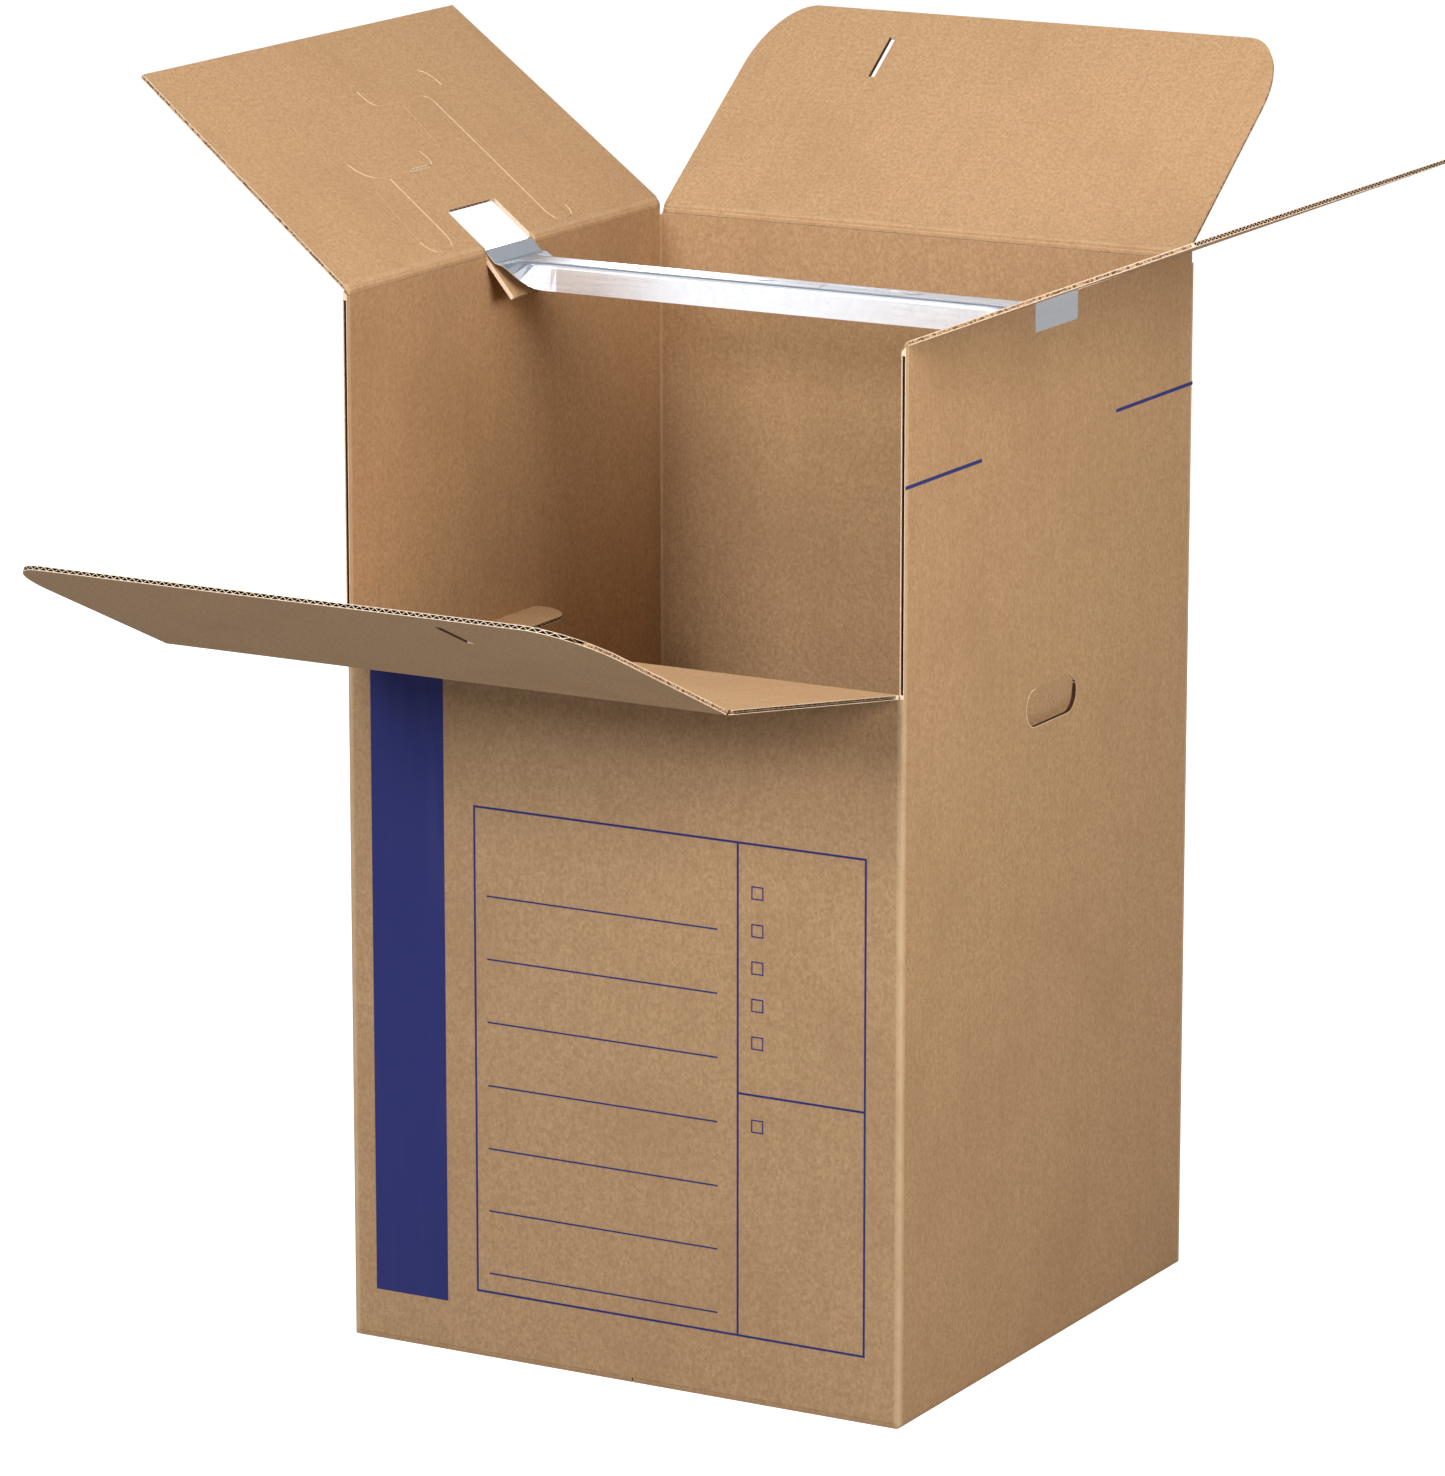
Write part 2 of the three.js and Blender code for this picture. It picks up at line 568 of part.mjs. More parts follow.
function hangBar() {
  const half = barPath();
  const path = [...half.slice().reverse().map((stop) => ({ ...stop, x: -stop.x })), ...half];
  const positions = [];
  const count = barSection(0).outer.length;
  path.forEach((stop, index) => {
    const before = path[Math.max(index - 1, 0)];
    const after = path[Math.min(index + 1, path.length - 1)];
    const arriving = new THREE.Vector2(stop.x - before.x, stop.z - before.z).normalize();
    const leaving = new THREE.Vector2(after.x - stop.x, after.z - stop.z).normalize();
    const direction = arriving.clone().add(leaving).normalize();
    const longest = arriving.length() > 0 ? arriving : leaving;
    const stretch = 1 / direction.dot(longest);
    const { outer, inner } = barSection(stop.folded);
    [...outer, ...inner].forEach(({ across, up }) => {
      const rise = up * stretch;
      positions.push(stop.x - direction.y * rise, across, stop.z + direction.x * rise);
    });
  });
  const indices = [];
  const quad = (a, b, c, d) => indices.push(a, b, c, a, c, d);
  const ring = 2 * count;
  for (let stop = 0; stop < path.length - 1; stop += 1) {
    const here = stop * ring;
    const next = here + ring;
    for (let point = 0; point < count - 1; point += 1) {
      quad(here + point, next + point, next + point + 1, here + point + 1);
      quad(here + count + point, here + count + point + 1, next + count + point + 1, next + count + point);
    }
    quad(here, here + count, next + count, next);
    quad(here + count - 1, next + count - 1, next + ring - 1, here + ring - 1);
  }
  const end = (path.length - 1) * ring;
  for (let point = 0; point < count - 1; point += 1) {
    quad(point, point + 1, count + point + 1, count + point);
    quad(end + point, end + count + point, end + count + point + 1, end + point + 1);
  }
  const geometry = new THREE.BufferGeometry();
  geometry.setAttribute('position', new THREE.Float32BufferAttribute(positions, 3));
  geometry.setIndex(indices);
  const recess = (start) => solid(block(
    [start, -BAR_RECESS_WIDTH / 2, BAR_TOP - BAR_RECESS_DEPTH],
    [start + BAR_RECESS_LENGTH, BAR_RECESS_WIDTH / 2, BAR_TOP + OVERSIZE],
  ));
  const bar = solid(geometry)
    .subtract(recess(BAR_RECESS_START))
    .subtract(recess(-BAR_RECESS_START - BAR_RECESS_LENGTH));
  return meshOf('hang_bar', bar, zincSteel);
}

const box = new THREE.Group();
box.add(meshOf('carton_body', cartonBody(), kraftBoard));

const leftFlap = hingeAt(sideFlap('left_top_flap'), LEFT, HALF_WIDTH, SIDE_CREASE_HEIGHT, LEFT_FLAP_ANGLE);
const rightFlap = hingeAt(sideFlap('right_top_flap'), RIGHT, HALF_WIDTH, SIDE_CREASE_HEIGHT, RIGHT_FLAP_ANGLE);
const backFlap = hingeAt(innerFlap('back_top_flap'), BACK, HALF_DEPTH, INNER_CREASE_HEIGHT, BACK_FLAP_ANGLE);
const access = hingeAt(accessPanel(), FRONT, HALF_DEPTH, ACCESS_CREASE_HEIGHT, ACCESS_PANEL_ANGLE);
const frontFlap = new THREE.Group();
frontFlap.position.set(0, ACCESS_PANEL_LENGTH, 0);
frontFlap.rotation.x = THREE.MathUtils.degToRad(FRONT_FLAP_ANGLE - ACCESS_PANEL_ANGLE);
frontFlap.add(innerFlap('front_top_flap'));
access.hinge.add(frontFlap);
box.add(leftFlap.wall, rightFlap.wall, backFlap.wall, access.wall);
box.add(hangBar());

export default box;
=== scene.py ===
"""Looks of the wardrobe moving box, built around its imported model. Metres, +Z up."""
import json
import math

import bmesh
import bpy
from mathutils import Matrix, Vector


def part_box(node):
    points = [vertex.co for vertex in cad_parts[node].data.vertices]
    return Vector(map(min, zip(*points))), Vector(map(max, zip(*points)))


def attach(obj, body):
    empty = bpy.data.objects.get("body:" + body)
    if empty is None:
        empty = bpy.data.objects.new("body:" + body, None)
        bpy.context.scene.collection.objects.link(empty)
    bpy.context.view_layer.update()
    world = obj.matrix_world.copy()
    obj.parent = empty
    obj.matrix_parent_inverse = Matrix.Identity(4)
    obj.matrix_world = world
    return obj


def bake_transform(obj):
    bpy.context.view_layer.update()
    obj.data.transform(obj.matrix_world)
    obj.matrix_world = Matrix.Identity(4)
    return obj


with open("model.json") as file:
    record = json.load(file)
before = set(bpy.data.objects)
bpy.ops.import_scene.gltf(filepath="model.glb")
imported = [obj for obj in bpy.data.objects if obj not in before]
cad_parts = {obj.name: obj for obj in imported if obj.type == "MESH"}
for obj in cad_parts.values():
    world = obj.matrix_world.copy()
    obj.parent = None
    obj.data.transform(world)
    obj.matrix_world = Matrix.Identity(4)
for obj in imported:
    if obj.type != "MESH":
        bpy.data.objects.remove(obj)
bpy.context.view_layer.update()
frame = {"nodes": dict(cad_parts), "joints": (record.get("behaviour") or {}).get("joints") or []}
nodes = frame["nodes"]
joints = {joint["name"]: joint for joint in frame["joints"]}

# The board, as in the part's source
BOARD = 0.0044
FLUTE_PITCH = 0.0079
LINER = 0.0006

_, carton_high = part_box("carton_body")
HALF_WIDTH = carton_high.x
HALF_DEPTH = carton_high.y


def linear(red, green, blue):
    """An sRGB colour of 0 to 255 as the linear colour that a shader takes."""
    def channel(value):
        value /= 255
        return value / 12.92 if value <= 0.04045 else ((value + 0.055) / 1.055) ** 2.4
    return (channel(red), channel(green), channel(blue), 1)


# Each folding piece's joint, the bodies on its two sides, and the turn about the vertical, in
# degrees, that takes the back wall's directions to its own wall
TOP_FOLDS = {
    "left_top_flap": ("left_flap_fold", "carton", "left_flap", 90),
    "right_top_flap": ("right_flap_fold", "carton", "right_flap", -90),
    "back_top_flap": ("back_flap_fold", "carton", "back_flap", 0),
    "front_access_panel": ("access_panel_fold", "carton", "access_panel", 180),
    "front_top_flap": ("front_flap_fold", "access_panel", "front_flap", 180),
}

# How far above the horizontal a closed piece stands: upright in its wall, or else flat inward
CLOSED_ANGLE = {"front_access_panel": 90}
FLAT_INWARD = 180


def rest_angle(node):
    """How far a flap stands above the horizontal at rest, from the joint's closed limit."""
    joint = joints[TOP_FOLDS[node][0]]
    closed = CLOSED_ANGLE.get(node, FLAT_INWARD)
    if node == "front_top_flap":
        return rest_angle("front_access_panel") + 90 - joint["range_deg"][1]
    return closed - joint["range_deg"][1]


def board_matrix(node):
    """From a piece's flat place (along the crease, outward, thickness) to the row frame."""
    if node not in TOP_FOLDS:
        return Matrix.Identity(4)
    fold, _, _, turn = TOP_FOLDS[node]
    return (
        Matrix.Translation(Vector(joints[fold]["pos_m"]))
        @ Matrix.Rotation(math.radians(turn), 4, "Z")
        @ Matrix.Rotation(math.radians(rest_angle(node)), 4, "X")
    )


class Shader:
    """A material's node tree with short calls for the nodes that these materials use."""

    def __init__(self, name):
        self.material = bpy.data.materials.new(name)
        self.material.use_nodes = True
        self.tree = self.material.node_tree
        self.surface = self.tree.nodes["Principled BSDF"]

    def add(self, kind, **settings):
        node = self.tree.nodes.new(kind)
        for name, value in settings.items():
            setattr(node, name, value)
        return node

    def feed(self, socket, value):
        if isinstance(value, bpy.types.NodeSocket):
            self.tree.links.new(value, socket)
        else:
            socket.default_value = value

    def math(self, operation, *values):
        node = self.add("ShaderNodeMath", operation=operation)
        for socket, value in zip(node.inputs, values):
            self.feed(socket, value)
        return node.outputs[0]

    def between(self, value, low, high):
        """0 below low, 1 above high, smooth in between; low may be the larger."""
        node = self.add("ShaderNodeMapRange", interpolation_type="SMOOTHSTEP")
        self.feed(node.inputs["Value"], value)
        node.inputs["From Min"].default_value = low
        node.inputs["From Max"].default_value = high
        return node.outputs["Result"]

    def mix(self, factor, first, second):
        node = self.add("ShaderNodeMix", data_type="RGBA")
        self.feed(node.inputs["Factor"], factor)
        self.feed(node.inputs["A"], first)
        self.feed(node.inputs["B"], second)
        return node.outputs["Result"]

    def tint(self, tone, value, low, high, amount, colour):
        """The tone with up to that amount of a colour, growing as the value goes from low to high."""
        return self.mix(self.math("MULTIPLY", self.between(value, low, high), amount), tone, colour)

    def noise(self, coordinates, scale, detail=2.0, roughness=0.5, stretch=(1, 1, 1)):
        mapping = self.add("ShaderNodeMapping")
        mapping.inputs["Scale"].default_value = stretch
        self.feed(mapping.inputs["Vector"], coordinates)
        node = self.add("ShaderNodeTexNoise")
        node.inputs["Scale"].default_value = scale
        node.inputs["Detail"].default_value = detail
        node.inputs["Roughness"].default_value = roughness
        self.feed(node.inputs["Vector"], mapping.outputs["Vector"])
        return node.outputs["Fac"]

    def place(self):
        """The piece's own coordinates."""
        return self.add("ShaderNodeTexCoord").outputs["Object"]

    def flat_place(self, matrix):
        """The piece's own coordinates, turned back to how its board lies flat."""
        source = self.place()
        inverse = matrix.inverted()
        mapping = self.add("ShaderNodeMapping")
        mapping.inputs["Location"].default_value = inverse.to_translation()
        mapping.inputs["Rotation"].default_value = inverse.to_euler("XYZ")
        self.feed(mapping.inputs["Vector"], source)
        return mapping.outputs["Vector"]

    def split(self, vector):
        node = self.add("ShaderNodeSeparateXYZ")
        self.feed(node.inputs[0], vector)
        return node.outputs

    def bump(self, height, strength, distance, under=None):
        node = self.add("ShaderNodeBump")
        node.inputs["Strength"].default_value = strength
        node.inputs["Distance"].default_value = distance
        self.feed(node.inputs["Height"], height)
        if under is not None:
            self.feed(node.inputs["Normal"], under)
        return node.outputs["Normal"]


KRAFT_LIGHT = linear(206, 168, 126)
KRAFT_MIDDLE = linear(190, 151, 109)
KRAFT_DARK = linear(160, 123, 86)
# The cut edge: pale as cut kraft is, and lighter still as painted highlight
KRAFT_EDGE_AND_HIGHLIGHT = linear(255, 232, 206)
KRAFT_CREASE = linear(214, 180, 140)
INK_BLUE = linear(44, 48, 106)


def kraft_fibres(shader, flat, flutes_along):
    """The colour and height of kraft liner: fine fibres, blotches and faint flute lines."""
    stretch = (1, 0.55, 1) if flutes_along == "y" else (1, 1, 0.55)
    speckle = shader.noise(flat, 900, detail=3, roughness=0.65)
    fibre = shader.noise(flat, 420, detail=4, roughness=0.7, stretch=stretch)
    streak = shader.noise(flat, 90, detail=3, stretch=tuple(0.12 if s < 1 else 1 for s in stretch))
    cloud = shader.noise(flat, 6, detail=3, roughness=0.6)
    x, y, _ = shader.split(flat)
    across = x if flutes_along == "y" else shader.math("ADD", x, y)
    wave = shader.math("SINE", shader.math("MULTIPLY", across, 2 * math.pi / FLUTE_PITCH))
    mottle = shader.noise(flat, 260, detail=5, roughness=0.75)
    tone = shader.mix(shader.between(fibre, 0.3, 0.72), KRAFT_DARK, KRAFT_LIGHT)
    tone = shader.mix(0.5, tone, KRAFT_MIDDLE)
    tone = shader.tint(tone, mottle, 0.46, 0.68, 0.4, KRAFT_LIGHT)
    tone = shader.tint(tone, mottle, 0.54, 0.32, 0.4, KRAFT_DARK)
    tone = shader.tint(tone, speckle, 0.56, 0.72, 0.30, KRAFT_LIGHT)
    tone = shader.tint(tone, speckle, 0.42, 0.3, 0.34, KRAFT_DARK)
    tone = shader.tint(tone, streak, 0.45, 0.75, 0.14, KRAFT_DARK)
    tone = shader.tint(tone, cloud, 0.45, 0.7, 0.22, KRAFT_DARK)
    normal = shader.bump(speckle, 0.16, 0.0004)
    normal = shader.bump(fibre, 0.12, 0.0006, normal)
    normal = shader.bump(wave, 0.05, 0.0006, normal)
    normal = shader.bump(cloud, 0.3, 0.004, normal)
    return tone, normal


def finish_board(shader, tone, normal, roughness=0.86):
    """The dull surface of paper with the given colour and relief."""
    shader.feed(shader.surface.inputs["Base Color"], tone)
    shader.feed(shader.surface.inputs["Normal"], normal)
    shader.surface.inputs["Roughness"].default_value = roughness
    shader.surface.inputs["Specular IOR Level"].default_value = 0.18
    return shader.material


# How far inside the walls' faces a worn corner starts and is palest, and how high the foot of the walls is
# darker
CORNER_WEAR_START, CORNER_WEAR_FULL = 0.0078, 0.0045
FOOT_TOP, FOOT_BOTTOM = 0.006, 0.0005


def near_face(shader, along, half_size):
    """1 near a pair of opposite walls' faces and 0 away from them."""
    from_middle = shader.math("ABSOLUTE", along)
    return shader.between(from_middle, half_size - CORNER_WEAR_START, half_size - CORNER_WEAR_FULL)


def kraft_material(node):
    """Kraft liner for one piece of board, with paler lines along the carton's corners."""
    shader = Shader("kraft_" + node)
    flat = shader.flat_place(board_matrix(node))
    tone, normal = kraft_fibres(shader, flat, "y" if node in TOP_FOLDS else "z")
    if node == "carton_body":
        x, y, z = shader.split(flat)
        corner = shader.math("MULTIPLY", near_face(shader, x, HALF_WIDTH), near_face(shader, y, HALF_DEPTH))
        worn = shader.between(shader.noise(flat, 30, detail=4), 0.2, 0.7)
        shown = shader.math("MULTIPLY", corner, shader.math("MULTIPLY_ADD", worn, 0.4, 0.4))
        tone = shader.mix(shown, tone, KRAFT_CREASE)
        # The foot of the walls is darker over its lowest few millimetres.
        tone = shader.tint(tone, z, FOOT_TOP, FOOT_BOTTOM, 0.5, KRAFT_DARK)
    return finish_board(shader, tone, normal)


# How far behind the front wall's face the shade between the liners of the access opening's
# sides begins and is full, and where it thins out again and ends
SHADE_START, SHADE_FULL = 0.0004, 0.0024
SHADE_THIN, SHADE_END = 0.006, 0.008


def edge_material(node):
    """The cut edge of the board: rougher than its liner, and paler, partly as cut kraft is and partly as
    painted highlight.
    """
    shader = Shader("kraft_edge_" + node)
    flat = shader.flat_place(board_matrix(node))
    grain = shader.noise(flat, 700, detail=3)
    tone = shader.mix(shader.between(grain, 0.35, 0.7), linear(236, 205, 170), KRAFT_EDGE_AND_HIGHLIGHT)
    if node == "carton_body":
        _, y, _ = shader.split(flat)
        behind = shader.math("ADD", y, HALF_DEPTH)
        shade = shader.math(
            "MULTIPLY",
            shader.between(behind, SHADE_START, SHADE_FULL),
            shader.between(behind, SHADE_END, SHADE_THIN),
        )
        tone = shader.mix(shade, tone, linear(112, 80, 54))
    return finish_board(shader, tone, shader.bump(grain, 0.4, 0.0004), 0.95)


def side_edge_material(node):
    """A side cut along the flutes: pale liners, partly painted highlight, and the torn medium between them.
    """
    shader = Shader("kraft_side_" + node)
    flat = shader.flat_place(board_matrix(node))
    grain = shader.noise(flat, 700, detail=3)
    torn = shader.noise(flat, 330, detail=3, roughness=0.7)
    _, _, z = shader.split(flat)
    from_middle = shader.math("ABSOLUTE", shader.math("SUBTRACT", z, BOARD / 2))
    medium = shader.between(from_middle, BOARD / 2 - LINER, BOARD / 2 - 2 * LINER)
    pale = shader.mix(shader.between(grain, 0.35, 0.7), linear(224, 190, 152), KRAFT_EDGE_AND_HIGHLIGHT)
    brown = shader.mix(shader.between(torn, 0.42, 0.58), linear(104, 74, 50), linear(206, 168, 128))
    tone = shader.mix(medium, pale, brown)
    return finish_board(shader, tone, shader.bump(torn, 0.5, 0.0006), 0.95)


def flute_shade_material():
    """Painted shade: the inside of the board's flutes, where little light reaches, coloured dark for that
    shade.
    """
    shader = Shader("kraft_flute_shade")
    grain = shader.noise(shader.place(), 500, detail=2)
    tone = shader.mix(grain, linear(66, 46, 31), linear(92, 66, 45))
    return finish_board(shader, tone, shader.bump(grain, 0.3, 0.0004), 0.95)


def rim_and_highlight_material():
    """The torn fibres along a knife cut: pale, with painted highlight that makes them nearly white where
    they stand up.
    """
    shader = Shader("kraft_rim_and_highlight")
    grain = shader.noise(shader.place(), 500, detail=3)
    tone = shader.mix(shader.between(grain, 0.3, 0.7), linear(214, 178, 138), linear(246, 218, 182))
    return finish_board(shader, tone, shader.bump(grain, 0.3, 0.0003), 0.95)


def crease_material(node):
    """A scored fold: pale along its middle, where the liner is stretched."""
    shader = Shader("crease_" + node)
    flat = shader.flat_place(board_matrix(node))
    tone, normal = kraft_fibres(shader, flat, "y")
    worn = shader.between(shader.noise(flat, 45, detail=4), 0.3, 0.65)
    tone = shader.mix(shader.math("MULTIPLY_ADD", worn, 0.2, 0.04), tone, KRAFT_CREASE)
    return finish_board(shader, tone, normal)


def ink_material():
    """Flexographic ink on kraft: slightly uneven, with fibres showing through."""
    shader = Shader("ink_blue")
    place = shader.place()
    speckle = shader.noise(place, 800, detail=3, roughness=0.7)
    streak = shader.noise(place, 60, detail=3, stretch=(1, 1, 0.15))
    tone = shader.mix(shader.between(speckle, 0.62, 0.8), INK_BLUE, linear(92, 84, 112))
    tone = shader.tint(tone, streak, 0.5, 0.8, 0.35, linear(62, 62, 112))
    return finish_board(shader, tone, shader.bump(speckle, 0.2, 0.0003), 0.7)


# The bar's pressed bosses, and how far from the middle the lips outside the walls begin, which are greyed
# as painted reflection
BOSS_PLACES = (-0.152, -0.011, 0.152)
BOSS_HALF_LENGTH, BOSS_HALF_WIDTH, BOSS_HEIGHT = 0.0085, 0.0045, 0.0008
BOSS_SINK = 0.0001
BOSS_RINGS, BOSS_SIDES = 5, 24
LIP_PLACE = (0.3055, 0.3062)


def steel_material():
    """Galvanised sheet: bright, with soft spangle and rolling streaks along the bar; painted reflection
    greys it where it faces up and on the lips outside the walls, and painted shade rings each boss."""
    shader = Shader("zinc_steel")
    place = shader.place()
    spangle = shader.add("ShaderNodeTexVoronoi")
    spangle.inputs["Scale"].default_value = 160
    shader.feed(spangle.inputs["Vector"], place)
    cloud = shader.noise(place, 40, detail=4)
    rolled = shader.noise(place, 300, detail=3, stretch=(0.04, 1, 1))
    tone = shader.mix(spangle.outputs["Color"], linear(238, 241, 246), linear(247, 249, 253))
    tone = shader.tint(tone, cloud, 0.45, 0.7, 0.14, linear(206, 211, 220))
    facing_x, _, facing_z = shader.split(shader.add("ShaderNodeNewGeometry").outputs["Normal"])
    # Painted reflection: the faces that face up are greyed.
    painted_top_reflection = shader.between(facing_z, 0.25, 0.85)
    tone = shader.mix(painted_top_reflection, tone, linear(128, 135, 145))
    along, across, _ = shader.split(place)
    # Painted reflection: the lips outside the walls, facing sideways, are greyed.
    lip_painted_reflection = shader.math(
        "MULTIPLY",
        shader.between(shader.math("ABSOLUTE", facing_x), 0.9, 0.98),
        shader.between(shader.math("ABSOLUTE", along), *LIP_PLACE),
    )
    tone = shader.mix(lip_painted_reflection, tone, linear(158, 160, 163))
    across = shader.math("DIVIDE", across, BOSS_HALF_WIDTH)
    # Painted shade: a dark ring round each boss, on the faces that face up.
    for boss in BOSS_PLACES:
        beside = shader.math("DIVIDE", shader.math("SUBTRACT", along, boss), BOSS_HALF_LENGTH)
        squares = shader.math("MULTIPLY_ADD", beside, beside, shader.math("MULTIPLY", across, across))
        away = shader.math("SQRT", squares)
        ring = shader.math("MULTIPLY", shader.between(away, 0.75, 0.95), shader.between(away, 1.5, 1.1))
        tone = shader.mix(shader.math("MULTIPLY", ring, painted_top_reflection), tone, linear(84, 90, 98))
    shader.feed(shader.surface.inputs["Base Color"], tone)
    shader.feed(shader.surface.inputs["Metallic"], shader.math("MULTIPLY_ADD", painted_top_reflection, 0.3, 0.7))
    rough = shader.math("MULTIPLY_ADD", rolled, 0.2, 0.2)
    shader.feed(shader.surface.inputs["Roughness"], rough)
    shader.feed(shader.surface.inputs["Normal"], shader.bump(rolled, 0.07, 0.0004))
    return shader.material


FLUTE_SHADE = flute_shade_material()
RIM_AND_HIGHLIGHT = rim_and_highlight_material()
STEEL = steel_material()
INK = ink_material()

# The kinds of face on a piece of board, in the order of its materials; the third kind is painted dark as
# shade
LINER_SIDE, CUT_EDGE, FLUTE_SHADE_SIDE, SIDE_EDGE = range(4)

# Where the carton's tabs are: half their width, their lowest and their highest point
HAND_TAB_BOX = (0.0535, 0.62, 0.674)
BAR_TAB_BOX = (0.0458, 1.0, 1.0478)
HAND_TAB_PIVOT = (0.3038, 0.671)
HAND_TAB_FOLDS = {-1: 81, 1: 13}
BAR_TAB_FOLD = 50
TAB_TOLERANCE = 0.0001

# How closely a face's normal follows a direction to count as facing it, or as square to it
FACES = 0.9
SQUARE = 0.1
FLUTE_FACES = 0.3
FLOOR_FACES = 0.5
FLUTE_BELOW_LINER = 0.7

# Beyond which place along its crease a flap's cut is its own side and not one inside it, how deep
# the access opening's sides are open, and a height that all the bottom flaps lie below
FLAP_INSIDE = 0.285
SLOTTED_FLAPS = ("back_top_flap", "front_top_flap")
OPENING_DEPTH = 0.0065
BOTTOM_FLAPS_TOP = 0.02


def carton_sheets():
    """The places in the carton where a cut edge shows: a box, a point in the middle of the board's
    thickness and the direction through it."""
    sheets = []
    for side in (-1, 1):
        half, low, high = BAR_TAB_BOX
        turned = math.radians(BAR_TAB_FOLD)
        across = Vector((side * math.sin(turned), 0, -math.cos(turned)))
        sheets.append((
            ((-HALF_WIDTH, -half, low), (HALF_WIDTH, half, high)), side,
            Vector((side * HALF_WIDTH, 0, carton_high.z)) + across * BOARD / 2, across,
        ))
        half, low, high = HAND_TAB_BOX
        turned = math.radians(HAND_TAB_FOLDS[side])
        across = Vector((side * math.cos(turned), 0, -math.sin(turned)))
        sheets.append((
            ((-HALF_WIDTH, -half, low), (HALF_WIDTH, half, high)), side,
            Vector((side * HAND_TAB_PIVOT[0], 0, HAND_TAB_PIVOT[1])), across,
        ))
    return sheets


CARTON_SHEETS = carton_sheets()


def side_of_board(normal, centre, middle, across):
    """Which part of the board a face is, by its place in the board's thickness."""
    depth = abs((centre - middle) @ across)
    facing = abs(normal @ across)
    if depth < BOARD / 2 - LINER * FLUTE_BELOW_LINER and facing > FLUTE_FACES:
        return FLUTE_SHADE_SIDE
    return CUT_EDGE if facing < FACES else LINER_SIDE


def flap_face_kind(node, normal, centre):
    """The kind of a face on one of the pieces that fold at the top."""
    place = board_matrix(node)
    along, _, across = place.to_3x3().col
    flat_centre = place.inverted() @ centre
    if flat_centre.y < BOARD:
        return CUT_EDGE if abs(normal @ across) < FACES else LINER_SIDE
    kind = side_of_board(normal, centre, place @ Vector((0, 0, BOARD / 2)), across)
    if kind == CUT_EDGE and abs(normal @ along) > FACES:
        if abs(flat_centre.x) > FLAP_INSIDE:
            return SIDE_EDGE
        # The slots' long sides are painted dark, as the shade inside the slot.
        if node in SLOTTED_FLAPS:
            return FLUTE_SHADE_SIDE
    return kind


def carton_face_kind(normal, centre):
    """The kind of a face on the carton: its tabs, hand holes, access opening, and then its walls."""
    for (low, high), side, middle, across in CARTON_SHEETS:
        inside = all(low[axis] <= centre[axis] <= high[axis] for axis in range(3))
        depth = abs((centre - middle) @ across)
        if inside and centre.x * side > 0 and depth < BOARD / 2 + TAB_TOLERANCE:
            return side_of_board(normal, centre, middle, across)
    half, low, high = HAND_TAB_BOX
    # In the wall round each hand hole, the cut sides are painted dark, as the shade in the gap round the
    # tab.
    if abs(centre.x) > HAND_TAB_PIVOT[0] - BOARD and abs(centre.y) < half and low < centre.z < high:
        return FLUTE_SHADE_SIDE if abs(normal.x) < SQUARE else LINER_SIDE
    above_crease = centre.z > joints["access_panel_fold"]["pos_m"][2]
    at_opening = centre.y < OPENING_DEPTH - HALF_DEPTH and above_crease
    depth = abs(abs(centre.x) - (HALF_WIDTH - BOARD / 2))
    if at_opening and (normal.y < -FACES or depth < BOARD / 2 - LINER / 2):
        return CUT_EDGE
    if abs(normal.z) > FLOOR_FACES and centre.z > BOTTOM_FLAPS_TOP:
        return CUT_EDGE
    return LINER_SIDE


def dress_board(node):
    """The materials of one piece of board, a kind of face at a time."""
    piece = nodes[node]
    piece.data.materials.clear()
    piece.data.materials.append(kraft_material(node))
    piece.data.materials.append(edge_material(node))
    piece.data.materials.append(FLUTE_SHADE)
    piece.data.materials.append(side_edge_material(node))
    for polygon in piece.data.polygons:
        if node in TOP_FOLDS:
            kind = flap_face_kind(node, polygon.normal, polygon.center)
        else:
            kind = carton_face_kind(polygon.normal, polygon.center)
        polygon.material_index = kind
        polygon.use_smooth = False


def new_piece(name, mesh, material):
    """A new object of the scene with one material."""
    piece = bpy.data.objects.new(name, mesh)
    bpy.context.scene.collection.objects.link(piece)
    mesh.materials.append(material)
    return piece


def mesh_from(name, points, faces, smooth=False):
    """A new mesh from its points and faces."""
    mesh = bpy.data.meshes.new(name)
    mesh.from_pydata([tuple(point) for point in points], [], faces)
    mesh.validate()
    mesh.update()
    for polygon in mesh.polygons:
        polygon.use_smooth = smooth
    return mesh


def turn_faces_outward(mesh):
    """Give every face of a closed mesh an outward normal."""
    repair = bmesh.new()
    repair.from_mesh(mesh)
    bmesh.ops.recalc_face_normals(repair, faces=repair.faces)
    repair.to_mesh(mesh)
    repair.free()


# The stretches along each crease, in metres from its middle, that a fold covers
BAR_OPENING_HALF = 0.046
CREASE_SPANS = {
    "left_top_flap": ((-0.3025, -BAR_OPENING_HALF), (BAR_OPENING_HALF, 0.3)),
    "right_top_flap": ((-0.3, -BAR_OPENING_HALF), (BAR_OPENING_HALF, 0.3025)),
    "back_top_flap": ((-0.2985, 0.2985),),
    "front_access_panel": ((-0.3005, 0.3005),),
    "front_top_flap": ((-0.2985, 0.2985),),
}

# A fold's steps round and along it, its crushed middle, and its clearance from closed side flaps
FOLD_STEPS = 24
FOLD_CELL = 0.006
FOLD_CRUSH = 0.16
CRUSH_SPREAD = 0.16
CLEAR_OF_SIDE_FLAPS = 0.0028


